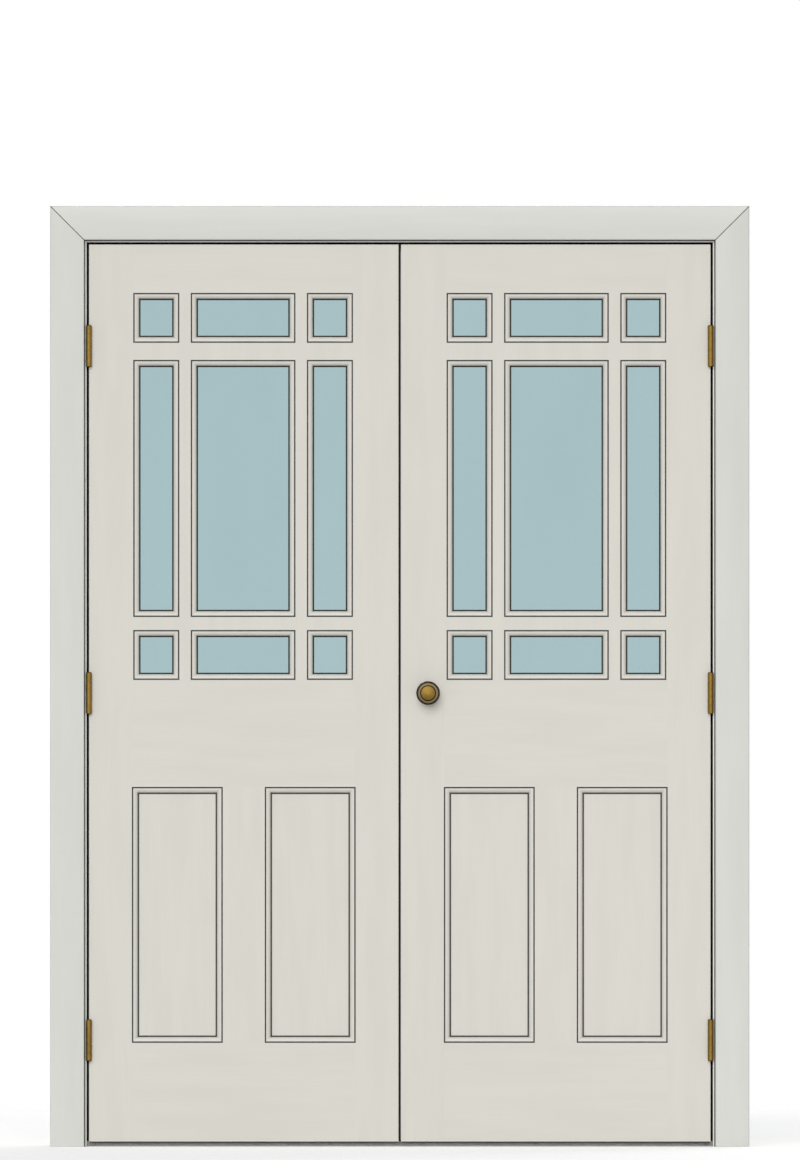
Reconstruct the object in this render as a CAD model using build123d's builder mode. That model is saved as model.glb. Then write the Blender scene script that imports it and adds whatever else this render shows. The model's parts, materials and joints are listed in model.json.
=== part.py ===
from build123d import *
import os

# Glazed double door: a pair of panelled and glazed leaves hung in a lined and cased doorway.
# Millimetres. X runs across the doorway, -Y is the front that the leaves open towards, +Z is up.
# The origin is at floor level, in the middle of the doorway and of the jambs' depth.

# Leaves
leaf_width = 684.0
leaf_height = 1981.0
leaf_thickness = 35.0
meeting_edge_bevel = 2.0
leaf_arris_radius = 1.5

# Clearances round the leaves
side_gap = 5.0
meeting_gap = 5.0
head_gap = 5.0
floor_gap = 11.0
stop_gap = 5.0

# Widths across a leaf, from its meeting edge
glazed_meeting_stile_width = 102.0
glazed_hinge_stile_width = 99.0
small_light_width = 99.5
upright_bar_width = 27.5
panelled_stile_width = 96.0
muntin_width = 95.0

# Heights up a leaf, from its bottom edge
bottom_rail_height = 219.0
panel_height = 563.0
lock_rail_height = 238.5
small_light_height = 108.0
lower_bar_height = 31.0
upper_bar_height = 40.0
top_rail_height = 108.0

# Glass, panels and the mouldings that hold them
glass_thickness = 6.0
glass_edge_clearance = 2.0
panel_thickness = 12.0
panel_groove_depth = 9.0
panel_edge_clearance = 1.0
moulding_width = 13.0
moulding_set_back = 1.0
moulding_fillet = 1.5
quirk_width = 2.0
quirk_depth = 4.0

# Jambs, head, stops and casings
jamb_depth = 116.0
jamb_thickness = 30.0
jamb_arris_radius = 1.5
stop_thickness = 18.0
stop_width = 32.0
stop_arris_radius = 4.0
casing_width = 75.0
casing_thickness = 18.0
casing_arris_radius = 3.0
casing_side_reveal = 5.5
casing_head_reveal = 5.0

# Threshold bar between the stops
threshold_width = 60.0
threshold_height = 15.0
threshold_nose_radius = 5.0
threshold_ramp_width = 22.0
threshold_lip_height = 4.0
threshold_groove_count = 4
threshold_groove_spacing = 7.0
threshold_groove_width = 3.0
threshold_groove_depth = 1.2

# Butt hinges
hinge_height = 89.0
hinge_inset = 179.5
hinge_barrel_radius = 6.5
hinge_barrel_clearance = 0.5
hinge_knuckle_count = 5
hinge_knuckle_gap = 0.5
hinge_plate_thickness = 2.0
hinge_plate_recess = 1.5
hinge_plate_back_margin = 5.0
hinge_pin_radius = 3.0
hinge_bore_clearance = 0.1
hinge_tip_radius = 5.5
hinge_tip_height = 1.5

# Knob, rose and spindle
knob_backset = 60.0
knob_below_lock_rail_top = 30.0
rose_radius = 26.0
rose_thickness = 7.0
rose_edge_radius = 3.5
knob_neck_radius = 9.0
knob_neck_clearance = 0.1
knob_neck_stand_off = 0.5
knob_neck_length = 20.0
knob_radius = 23.0
knob_rim_length = 5.0
knob_edge_radius = 10.0
knob_face_radius = 17.0
knob_face_groove = 1.2
knob_dome_height = 3.0
spindle_width = 8.0
spindle_socket_depth = 14.0
spindle_hole_radius = 8.0

# Latch and strike plate on the meeting edges
latch_plate_width = 25.0
latch_plate_height = 57.0
latch_plate_thickness = 2.5
latch_plate_corner_radius = 6.0
latch_bolt_width = 10.4
latch_bolt_height = 16.4
latch_bolt_clearance = 0.3
latch_bolt_stand = 0.4
latch_bolt_slope = 5.0
latch_pocket_depth = 12.0
strike_hole_width = 13.0
strike_hole_height = 20.0

# Doorway inside the jambs
doorway_half_width = meeting_gap / 2 + leaf_width + side_gap
doorway_height = floor_gap + leaf_height + head_gap

# Depths, from the jambs' front edge to their rear edge
jamb_front = -jamb_depth / 2
jamb_rear = jamb_depth / 2
leaf_front = jamb_front
leaf_rear = leaf_front + leaf_thickness
leaf_middle = (leaf_front + leaf_rear) / 2
stop_front = leaf_rear + stop_gap

# Openings in a leaf: columns from its meeting edge, rows from its bottom edge
large_light_width = (
    leaf_width
    - glazed_meeting_stile_width
    - glazed_hinge_stile_width
    - 2 * small_light_width
    - 2 * upright_bar_width
)
first_bar = glazed_meeting_stile_width + small_light_width
second_bar = first_bar + upright_bar_width + large_light_width
light_columns = (
    (glazed_meeting_stile_width, first_bar),
    (first_bar + upright_bar_width, second_bar),
    (second_bar + upright_bar_width, leaf_width - glazed_hinge_stile_width),
)
panel_width = (leaf_width - 2 * panelled_stile_width - muntin_width) / 2
panel_columns = (
    (panelled_stile_width, panelled_stile_width + panel_width),
    (leaf_width - panelled_stile_width - panel_width, leaf_width - panelled_stile_width),
)
panel_row = (bottom_rail_height, bottom_rail_height + panel_height)
glazing_bottom = panel_row[1] + lock_rail_height
glazing_top = leaf_height - top_rail_height
lower_bar = glazing_bottom + small_light_height
upper_bar = glazing_top - small_light_height - upper_bar_height
light_rows = (
    (glazing_bottom, lower_bar),
    (lower_bar + lower_bar_height, upper_bar),
    (upper_bar + upper_bar_height, glazing_top),
)
lights = [(column, row) for row in light_rows for column in light_columns]
panels = [(column, panel_row) for column in panel_columns]

# Hinge axis and hinge positions
hinge_axis_x = meeting_gap / 2 + leaf_width
hinge_axis_y = leaf_front - hinge_barrel_clearance - hinge_barrel_radius
hinge_plate_back = leaf_rear - hinge_plate_back_margin
hinge_end = floor_gap + hinge_inset
hinge_top_end = floor_gap + leaf_height - hinge_inset - hinge_height
hinge_bottoms = (hinge_end, (hinge_end + hinge_top_end) / 2, hinge_top_end)
knuckle_height = (hinge_height - (hinge_knuckle_count - 1) * hinge_knuckle_gap) / hinge_knuckle_count

# Knob axis
knob_x = meeting_gap / 2 + knob_backset
knob_z = floor_gap + glazing_bottom - knob_below_lock_rail_top

hands = (("left", -1), ("right", 1))


def keep(piece, name):
    """Label a finished piece and write it to its own file."""
    piece.label = name
    export_step(piece, f"parts/{name}.step")


def across(side, distance):
    """World X of a distance measured from a leaf's meeting edge."""
    return side * (meeting_gap / 2 + distance)


def box_outline(first_x, last_x, first_y, last_y):
    """A rectangle between four limits, in the sketch that is open."""
    with Locations(((first_x + last_x) / 2, (first_y + last_y) / 2)):
        Rectangle(abs(last_x - first_x), abs(last_y - first_y))


def opening_outline(side, column, row, growth=0.0):
    """The outline of one light or panel in the leaf on that side, grown all round."""
    box_outline(
        across(side, column[0] - growth),
        across(side, column[1] + growth),
        floor_gap + row[0] - growth,
        floor_gap + row[1] + growth,
    )


def panel_grooves(side):
    """Outlines of the panels with the grooves that hold their edges, in mid-thickness."""
    with BuildSketch(Plane.XZ.offset(-leaf_middle)) as grooves:
        for column, row in panels:
            opening_outline(side, column, row, panel_groove_depth)
    return grooves.sketch


def meeting_edge_plane(side):
    """The bevelled meeting edge at the knob's height, facing out of the leaf."""
    return Plane(
        origin=(across(side, meeting_edge_bevel / 2), leaf_middle, knob_z),
        x_dir=(side * meeting_edge_bevel, leaf_thickness, 0),
        z_dir=(-side * leaf_thickness, meeting_edge_bevel, 0),
    )


def mitred_surround(name_pattern, inner_x, inner_z, width, back, face, arris_radius, inside):
    """Two uprights and a head, mitred where they meet, with the inside or face arrises rounded."""
    outer_x = inner_x + width
    outer_z = inner_z + width
    face_order = 1 if face < back else -1
    mitres = [Plane(origin=(side * inner_x, 0, inner_z), z_dir=(-side, 0, 1)) for _, side in hands]

    for (hand, side), mitre in zip(hands, mitres):
        with BuildPart() as upright:
            with BuildSketch():
                box_outline(side * inner_x, side * outer_x, back, face)
                if inside:
                    rounded = vertices().sort_by(Axis.X)[::side]
                else:
                    rounded = vertices().sort_by(Axis.Y)[::face_order]
                fillet(rounded[:2], arris_radius)
            extrude(amount=outer_z)
            split(bisect_by=mitre, keep=Keep.BOTTOM)
        keep(upright.part, name_pattern.format(hand))

    with BuildPart() as head:
        with BuildSketch(Plane.YZ):
            box_outline(back, face, inner_z, outer_z)
            if inside:
                rounded = vertices().sort_by(Axis.Y)
            else:
                rounded = vertices().sort_by(Axis.X)[::face_order]
            fillet(rounded[:2], arris_radius)
        extrude(amount=outer_x, both=True)
        for mitre in mitres:
            split(bisect_by=mitre, keep=Keep.TOP)
    keep(head.part, name_pattern.format("head"))


def make_jambs():
    """Side jambs with shallow recesses for the hinge plates."""
    outer_x = doorway_half_width + jamb_thickness
    for hand, side in hands:
        with BuildPart() as jamb:
            with BuildSketch():
                box_outline(side * doorway_half_width, side * outer_x, jamb_front, jamb_rear)
                inner = vertices().sort_by(Axis.X)[::side][:2]
                fillet(inner, jamb_arris_radius)
            extrude(amount=doorway_height)
            for bottom in hinge_bottoms:
                with BuildSketch(Plane.XY.offset(bottom)):
                    box_outline(
                        side * (doorway_half_width - side_gap / 2),
                        side * (doorway_half_width + hinge_plate_recess),
                        jamb_front,
                        hinge_plate_back,
                    )
                extrude(amount=hinge_height, mode=Mode.SUBTRACT)
        keep(jamb.part, f"{hand}_jamb")


def make_head_jamb():
    """Head over the jambs: rounded arrises between them, square where it bears on them."""
    top = doorway_height + jamb_thickness
    outer_x = doorway_half_width + jamb_thickness
    with BuildPart() as head_jamb:
        with BuildSketch(Plane.YZ):
            box_outline(jamb_front, jamb_rear, doorway_height, top)
            lower = vertices().sort_by(Axis.Y)[:2]
            fillet(lower, jamb_arris_radius)
        extrude(amount=doorway_half_width, both=True)
        for _, side in hands:
            with BuildSketch(Plane.YZ.offset(side * doorway_half_width)):
                box_outline(jamb_front, jamb_rear, doorway_height, top)
            extrude(amount=side * (outer_x - doorway_half_width))
    keep(head_jamb.part, "head_jamb")


def make_stops_and_casings():
    """Stops that the closed leaves meet, and flat casings on both faces of the wall."""
    mitred_surround(
        "{}_stop",
        doorway_half_width - stop_thickness,
        doorway_height - stop_thickness,
        stop_thickness,
        stop_front + stop_width,
        stop_front,
        stop_arris_radius,
        inside=True,
    )
    for name_pattern, wall_face, outward in (
        ("casing_front_{}", jamb_front, -1),
        ("casing_rear_{}", jamb_rear, 1),
    ):
        mitred_surround(
            name_pattern,
            doorway_half_width + casing_side_reveal,
            doorway_height + casing_head_reveal,
            casing_width,
            wall_face,
            wall_face + outward * casing_thickness,
            casing_arris_radius,
            inside=False,
        )


def make_threshold():
    """Low grooved bar between the stops: rounded nose at the front, ramp down at the rear."""
    rear = stop_front + threshold_width
    ramp_start = rear - threshold_ramp_width
    groove_middle = (stop_front + threshold_nose_radius + ramp_start) / 2
    with BuildPart() as threshold:
        with BuildSketch(Plane.YZ):
            with BuildLine():
                Polyline(
                    (stop_front, 0),
                    (stop_front, threshold_height),
                    (ramp_start, threshold_height),
                    (rear, threshold_lip_height),
                    (rear, 0),
                    close=True,
                )
            make_face()
            nose = vertices().filter_by_position(Axis.X, stop_front, stop_front).sort_by(Axis.Y)[-1]
            fillet(nose, threshold_nose_radius)
            with Locations((groove_middle, threshold_height)):
                with GridLocations(threshold_groove_spacing, 1, threshold_groove_count, 1):
                    Rectangle(threshold_groove_width, 2 * threshold_groove_depth, mode=Mode.SUBTRACT)
        extrude(amount=doorway_half_width - stop_thickness, both=True)
    keep(threshold.part, "threshold")


def make_meeting_stile(hand, side):
    """Stile at the middle of the doorway: bevelled edge, wider beside the glass."""
    front_x = across(side, 0)
    rear_x = across(side, meeting_edge_bevel)
    with BuildPart() as stile:
        for bottom, top, width in (
            (0, glazing_bottom, panelled_stile_width),
            (glazing_bottom, leaf_height, glazed_meeting_stile_width),
        ):
            inner_x = across(side, width)
            with BuildSketch(Plane.XY.offset(floor_gap + bottom)):
                with BuildLine():
                    Polyline(
                        (front_x, leaf_front),
                        (inner_x, leaf_front),
                        (inner_x, leaf_rear),
                        (rear_x, leaf_rear),
                        close=True,
                    )
                make_face()
                edge = vertices().sort_by(Axis.X)[::side][:2]
                fillet(edge, leaf_arris_radius)
            extrude(amount=top - bottom)
        extrude(panel_grooves(side), amount=panel_thickness / 2, both=True, mode=Mode.SUBTRACT)
        with BuildSketch(meeting_edge_plane(side)):
            RectangleRounded(latch_plate_width, latch_plate_height, latch_plate_corner_radius)
        extrude(amount=-latch_plate_thickness, mode=Mode.SUBTRACT)
        with BuildSketch(meeting_edge_plane(side).offset(-latch_plate_thickness)):
            if hand == "right":
                Rectangle(
                    latch_bolt_width + 2 * latch_bolt_clearance,
                    latch_bolt_height + 2 * latch_bolt_clearance,
                )
            else:
                Rectangle(strike_hole_width, strike_hole_height)
        extrude(amount=-latch_pocket_depth, mode=Mode.SUBTRACT)
        if hand == "right":
            with BuildSketch(Plane.XZ.offset(-leaf_rear)):
                with Locations((knob_x, knob_z)):
                    Circle(spindle_hole_radius)
            extrude(amount=leaf_thickness, mode=Mode.SUBTRACT)
    keep(stile.part, f"{hand}_meeting_stile")


def make_hinge_stile(hand, side):
    """Stile beside the jamb, recessed for the hinge plates, wider beside the glass."""
    edge_x = across(side, leaf_width)
    with BuildPart() as stile:
        for bottom, top, width in (
            (0, glazing_bottom, panelled_stile_width),
            (glazing_bottom, leaf_height, glazed_hinge_stile_width),
        ):
            with BuildSketch(Plane.XY.offset(floor_gap + bottom)):
                box_outline(across(side, leaf_width - width), edge_x, leaf_front, leaf_rear)
                edge = vertices().sort_by(Axis.X)[::-side][:2]
                fillet(edge, leaf_arris_radius)
            extrude(amount=top - bottom)
        extrude(panel_grooves(side), amount=panel_thickness / 2, both=True, mode=Mode.SUBTRACT)
        for bottom in hinge_bottoms:
            with BuildSketch(Plane.XY.offset(bottom)):
                box_outline(
                    across(side, leaf_width - hinge_plate_recess),
                    across(side, leaf_width + side_gap / 2),
                    leaf_front,
                    hinge_plate_back,
                )
            extrude(amount=hinge_height, mode=Mode.SUBTRACT)
    keep(stile.part, f"{hand}_hinge_stile")


def make_rails_and_muntin(hand, side):
    """Rails between the stiles and the short upright between the panels."""
    members = (
        ("bottom_rail", panelled_stile_width, panelled_stile_width, 0, bottom_rail_height),
        ("lock_rail", panelled_stile_width, panelled_stile_width, panel_row[1], glazing_bottom),
        ("top_rail", glazed_meeting_stile_width, glazed_hinge_stile_width, glazing_top, leaf_height),
        ("muntin", panel_columns[0][1], panel_columns[0][1], panel_row[0], panel_row[1]),
    )
    for name, meeting_margin, hinge_margin, bottom, top in members:
        with BuildPart() as member:
            with BuildSketch(Plane.XZ.offset(-leaf_rear)):
                opening_outline(side, (meeting_margin, leaf_width - hinge_margin), (bottom, top))
            extrude(amount=leaf_thickness)
            extrude(panel_grooves(side), amount=panel_thickness / 2, both=True, mode=Mode.SUBTRACT)
        keep(member.part, f"{hand}_{name}")


def make_glazing_bars(hand, side):
    """Two upright and two level bars, joined where they cross, flush with the stiles."""
    glazed_columns = (light_columns[0][0], light_columns[-1][1])
    glazed_rows = (glazing_bottom, glazing_top)
    with BuildPart() as bars:
        with BuildSketch(Plane.XZ.offset(-leaf_rear)):
            for bar in (first_bar, second_bar):
                opening_outline(side, (bar, bar + upright_bar_width), glazed_rows)
            for bar, height in ((lower_bar, lower_bar_height), (upper_bar, upper_bar_height)):
                opening_outline(side, glazed_columns, (bar, bar + height))
        extrude(amount=leaf_thickness)
    keep(bars.part, f"{hand}_glazing_bars")


def make_infill(hand, side, name, openings, thickness, growth):
    """Sheets in the middle of the leaf's thickness, one in each opening."""
    with BuildPart() as infill:
        with BuildSketch(Plane.XZ.offset(-leaf_middle)):
            for column, row in openings:
                opening_outline(side, column, row, growth)
        extrude(amount=thickness / 2, both=True)
    keep(infill.part, f"{hand}_{name}")


def moulding_profile(plane, depth):
    """Quirk, flat, quarter-round and flat: local x runs in from the opening's edge, y is height."""
    top = depth - moulding_set_back
    round_radius = moulding_width - quirk_width - 2 * moulding_fillet
    round_start = quirk_width + moulding_fillet
    round_end = round_start + round_radius
    inner_top = top - round_radius
    with BuildSketch(plane) as profile:
        with BuildLine():
            Polyline(
                (round_end, inner_top),
                (moulding_width, inner_top),
                (moulding_width, 0),
                (0, 0),
                (0, depth - quirk_depth),
                (quirk_width, depth - quirk_depth),
                (quirk_width, top),
                (round_start, top),
            )
            RadiusArc((round_start, top), (round_end, inner_top), round_radius)
        make_face()
    return profile.sketch


def make_mouldings(hand, side, name, openings, infill_thickness):
    """Mitred moulding rings on both faces of the glass or panel in each opening."""
    depth = (leaf_thickness - infill_thickness) / 2
    with BuildPart() as rings:
        for column, row in openings:
            middle_x = across(side, (column[0] + column[1]) / 2)
            low_z = floor_gap + row[0]
            for outward in (-1, 1):
                seat_y = leaf_middle + outward * infill_thickness / 2
                with BuildLine(Plane.XZ.offset(-seat_y)) as path:
                    first_x = across(side, column[0])
                    last_x = across(side, column[1])
                    high_z = floor_gap + row[1]
                    Polyline(
                        (middle_x, low_z),
                        (last_x, low_z),
                        (last_x, high_z),
                        (first_x, high_z),
                        (first_x, low_z),
                        (middle_x, low_z),
                    )
                section_plane = Plane(
                    origin=(middle_x, seat_y, low_z),
                    x_dir=(0, 0, 1),
                    z_dir=(-outward, 0, 0),
                )
                profile = moulding_profile(section_plane, depth)
                sweep(profile, path=path.line, transition=Transition.RIGHT)
    keep(rings.part, f"{hand}_{name}")


def knuckle_bottoms(first):
    """Heights of every second knuckle in one hinge, from that one."""
    pitch = knuckle_height + hinge_knuckle_gap
    return [pitch * place for place in range(first, hinge_knuckle_count, 2)]


def knuckle_outline(side, first_x, last_x):
    """A bored barrel round the hinge axis and the link to its plate, in the sketch that is open."""
    box_outline(first_x, last_x, hinge_axis_y, hinge_plate_back)
    with Locations((side * hinge_axis_x, hinge_axis_y)):
        Circle(hinge_barrel_radius)
        Circle(hinge_pin_radius + hinge_bore_clearance, mode=Mode.SUBTRACT)


def make_hinge_plates():
    """Butt hinge plates let into the jambs and stiles, with knuckles in front of the leaves."""
    leaf_front_clear = leaf_front + hinge_barrel_clearance
    leaf_inner = hinge_axis_x - hinge_plate_recess
    leaf_outer = leaf_inner + hinge_plate_thickness
    frame_outer = doorway_half_width + hinge_plate_recess
    frame_inner = frame_outer - hinge_plate_thickness
    for name, sides, inner, outer, plate_front, first_knuckle in (
        ("frame_hinge_plates", (-1, 1), frame_inner, frame_outer, jamb_front, 0),
        ("left_hinge_plates", (-1,), leaf_inner, leaf_outer, leaf_front_clear, 1),
        ("right_hinge_plates", (1,), leaf_inner, leaf_outer, leaf_front_clear, 1),
    ):
        with BuildPart() as plates:
            for side in sides:
                for bottom in hinge_bottoms:
                    with BuildSketch(Plane.XY.offset(bottom)):
                        box_outline(side * inner, side * outer, plate_front, hinge_plate_back)
                    extrude(amount=hinge_height)
                    for knuckle in knuckle_bottoms(first_knuckle):
                        with BuildSketch(Plane.XY.offset(bottom + knuckle)):
                            knuckle_outline(side, side * inner, side * outer)
                        extrude(amount=knuckle_height)
        keep(plates.part, name)


def make_hinge_pins():
    """Hinge pins through the knuckles, with a button tip at each end."""
    with BuildPart() as pins:
        for _, side in hands:
            for bottom in hinge_bottoms:
                for start, radius, length in (
                    (bottom, hinge_pin_radius, hinge_height),
                    (bottom - hinge_tip_height, hinge_tip_radius, hinge_tip_height),
                    (bottom + hinge_height, hinge_tip_radius, hinge_tip_height),
                ):
                    with BuildSketch(Plane.XY.offset(start)):
                        with Locations((side * hinge_axis_x, hinge_axis_y)):
                            Circle(radius)
                    extrude(amount=length)
    keep(pins.part, "hinge_pins")


def knob_plane(outward):
    """Section plane through the knob's axis: local x is the radius, y stands off the leaf."""
    face_y = leaf_front if outward < 0 else leaf_rear
    return Plane(origin=(knob_x, face_y, knob_z), x_dir=(1, 0, 0), z_dir=(0, 0, outward))


def make_knobs():
    """Turned knobs on both faces and the square spindle that joins them."""
    flare = (knob_radius - knob_neck_radius) / 2
    neck_end = knob_neck_stand_off + knob_neck_length
    rim_start = neck_end + 2 * flare
    rim_end = rim_start + knob_rim_length
    edge_centre = knob_radius - knob_edge_radius
    face_height = rim_end + (knob_edge_radius**2 - (knob_face_radius - edge_centre) ** 2) ** 0.5
    dome_edge = knob_face_radius - knob_face_groove
    dome_start = face_height - knob_face_groove

    for name, outward in (("knob_front", -1), ("knob_rear", 1)):
        plane = knob_plane(outward)
        axis = Axis(plane.origin, plane.y_dir)
        with BuildPart() as knob:
            with BuildSketch(plane):
                with BuildLine():
                    Polyline(
                        (0, knob_neck_stand_off),
                        (knob_neck_radius, knob_neck_stand_off),
                        (knob_neck_radius, neck_end),
                    )
                    hollow = JernArc((knob_neck_radius, neck_end), (0, 1), flare, -90)
                    swell = JernArc(hollow @ 1, (1, 0), flare, 90)
                    Line(swell @ 1, (knob_radius, rim_end))
                    RadiusArc((knob_radius, rim_end), (knob_face_radius, face_height), -knob_edge_radius)
                    Polyline(
                        (knob_face_radius, face_height),
                        (dome_edge, dome_start),
                    )
                    TangentArc(
                        (0, dome_start + knob_dome_height),
                        (dome_edge, dome_start),
                        tangent=(1, 0),
                    )
                    Line((0, dome_start + knob_dome_height), (0, knob_neck_stand_off))
                make_face()
            revolve(axis=axis)
            with BuildSketch(Plane(plane.origin, z_dir=plane.y_dir).offset(knob_neck_stand_off)):
                Rectangle(spindle_width, spindle_width)
            extrude(amount=spindle_socket_depth, mode=Mode.SUBTRACT)
        keep(knob.part, name)

    half_length = leaf_thickness / 2 + knob_neck_stand_off + spindle_socket_depth
    with BuildPart() as spindle:
        with BuildSketch(Plane.XZ.offset(-leaf_middle)):
            with Locations((knob_x, knob_z)):
                Rectangle(spindle_width, spindle_width)
        extrude(amount=half_length, both=True)
    keep(spindle.part, "spindle")


def make_roses():
    """Round roses on both faces of the right leaf, bored for the knobs' necks."""
    bore = knob_neck_radius + knob_neck_clearance
    with BuildPart() as roses:
        for outward in (-1, 1):
            plane = knob_plane(outward)
            with BuildSketch(plane):
                box_outline(bore, rose_radius, 0, rose_thickness)
                edge = vertices().sort_by(Axis.Y)[-2:].sort_by(Axis.X)[-1]
                fillet(edge, rose_edge_radius)
            revolve(axis=Axis(plane.origin, plane.y_dir))
    keep(roses.part, "right_roses")


def make_latch():
    """Latch faceplate and bolt in the right leaf's edge, and the strike plate opposite."""
    plane = meeting_edge_plane(1)
    bolt_start = latch_plate_thickness + latch_pocket_depth
    with BuildPart() as latch:
        with BuildSketch(plane):
            RectangleRounded(latch_plate_width, latch_plate_height, latch_plate_corner_radius)
            Rectangle(
                latch_bolt_width + 2 * latch_bolt_clearance,
                latch_bolt_height + 2 * latch_bolt_clearance,
                mode=Mode.SUBTRACT,
            )
        extrude(amount=-latch_plate_thickness)
        with BuildSketch(plane.offset(-bolt_start)):
            Rectangle(latch_bolt_width, latch_bolt_height)
        extrude(amount=bolt_start + latch_bolt_stand)
        nose = edges().filter_by(Axis.Z).sort_by_distance(plane.offset(latch_bolt_stand).origin)[:2]
        chamfer(nose.sort_by(Axis.Y)[-1], latch_bolt_slope)
    keep(latch.part, "right_latch")

    with BuildPart() as strike_plate:
        with BuildSketch(meeting_edge_plane(-1)):
            RectangleRounded(latch_plate_width, latch_plate_height, latch_plate_corner_radius)
            Rectangle(strike_hole_width, strike_hole_height, mode=Mode.SUBTRACT)
        extrude(amount=-latch_plate_thickness)
    keep(strike_plate.part, "left_strike_plate")


os.makedirs("parts", exist_ok=True)

make_jambs()
make_head_jamb()
make_stops_and_casings()
make_threshold()
make_hinge_plates()
make_hinge_pins()
for leaf_hand, leaf_side in hands:
    make_meeting_stile(leaf_hand, leaf_side)
    make_hinge_stile(leaf_hand, leaf_side)
    make_rails_and_muntin(leaf_hand, leaf_side)
    make_glazing_bars(leaf_hand, leaf_side)
    panel_growth = panel_groove_depth - panel_edge_clearance
    make_infill(leaf_hand, leaf_side, "panels", panels, panel_thickness, panel_growth)
    make_infill(leaf_hand, leaf_side, "panes", lights, glass_thickness, -glass_edge_clearance)
    make_mouldings(leaf_hand, leaf_side, "glazing_beads", lights, glass_thickness)
    make_mouldings(leaf_hand, leaf_side, "panel_mouldings", panels, panel_thickness)
make_knobs()
make_roses()
make_latch()
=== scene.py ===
# %% [markdown]
# # A glazed double door, finished for the camera
# The door was first drawn as solids and packed as a fixed frame: timber leaves, glass, hinges, knob
# and lining all stand where they belong. This lesson loads that frame, adds the small pieces that
# the solids leave out, and gives every surface its finish.
# Nothing from the frame is moved or reshaped. A new piece sits beside a solid or stands in for it.

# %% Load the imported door
import json
import math

import bmesh
import bpy
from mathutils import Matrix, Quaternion, Vector


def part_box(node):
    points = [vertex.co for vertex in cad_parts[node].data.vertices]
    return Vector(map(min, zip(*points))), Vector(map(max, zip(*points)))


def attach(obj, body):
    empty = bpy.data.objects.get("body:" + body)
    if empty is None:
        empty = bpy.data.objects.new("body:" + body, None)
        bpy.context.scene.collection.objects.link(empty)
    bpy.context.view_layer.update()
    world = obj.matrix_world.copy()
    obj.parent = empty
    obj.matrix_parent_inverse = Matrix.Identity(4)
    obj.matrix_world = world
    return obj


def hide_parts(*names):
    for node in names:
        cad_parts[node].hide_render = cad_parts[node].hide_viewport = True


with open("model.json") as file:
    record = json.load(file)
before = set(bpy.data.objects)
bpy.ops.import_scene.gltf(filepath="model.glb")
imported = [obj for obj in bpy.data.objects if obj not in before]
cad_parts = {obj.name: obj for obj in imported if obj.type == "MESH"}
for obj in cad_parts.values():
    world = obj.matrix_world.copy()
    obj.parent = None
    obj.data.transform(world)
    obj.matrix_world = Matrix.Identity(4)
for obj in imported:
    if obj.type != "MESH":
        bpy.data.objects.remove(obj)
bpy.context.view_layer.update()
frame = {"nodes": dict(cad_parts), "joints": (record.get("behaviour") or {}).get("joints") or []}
nodes = frame["nodes"]

# %% [markdown]
# ## Measures
# Blender works in metres, and joiners in millimetres. A joiner's figure times MM is in metres, and a
# length in metres divided by MM is a joiner's figure again.
# What the solids already know is read from their boxes. What a box can't tell is written out in
# millimetres: a leaf's width, the width of its mouldings, and the layout of its lights and panels,
# measured from the leaf's meeting edge and from its bottom edge.

# %% Measures of the leaves and the frame round them
MM = 0.001
X, Y, Z = range(3)
HANDS = {"left": -1, "right": 1}
leaf_width = 684 * MM
stile_low, stile_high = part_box("right_hinge_stile")
leaf_front, leaf_rear = stile_low.y, stile_high.y
leaf_bottom, leaf_top = stile_low.z, stile_high.z
leaf_mid_depth = (leaf_front + leaf_rear) / 2
hinge_edge = stile_high.x
meeting_edge = hinge_edge - leaf_width
jamb_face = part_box("right_stop")[1].x
head_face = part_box("head_jamb")[0].z
casing_inner_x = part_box("casing_front_right")[0].x
casing_inner_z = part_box("casing_front_head")[0].z
print("leaf from", round(meeting_edge, 4), "to", round(hinge_edge, 4), "m")
print("leaf height:", round(leaf_top - leaf_bottom, 4), "m")
print("casing opening:", round(casing_inner_x, 4), round(casing_inner_z, 4))

# %% Openings in a leaf, in millimetres
light_columns = ((102, 201.5), (229, 458), (485.5, 585))
light_rows = ((1020.5, 1128.5), (1159.5, 1725), (1765, 1873))
panel_columns, panel_rows = ((96, 294.5), (389.5, 588)), ((219, 782),)
moulding_width = 13
print("lights in a leaf:", len(light_columns) * len(light_rows))
print("panels in a leaf:", len(panel_columns) * len(panel_rows))

# %% [markdown]
# ## Shader maths
# A finish is a small calculation: where am I on the door, how much brush mark is here, how much
# dust. Blender draws such sums as Math nodes. Wired by hand they are slow to read, so this class
# wraps a socket and lets Python's own signs add the nodes.

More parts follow.
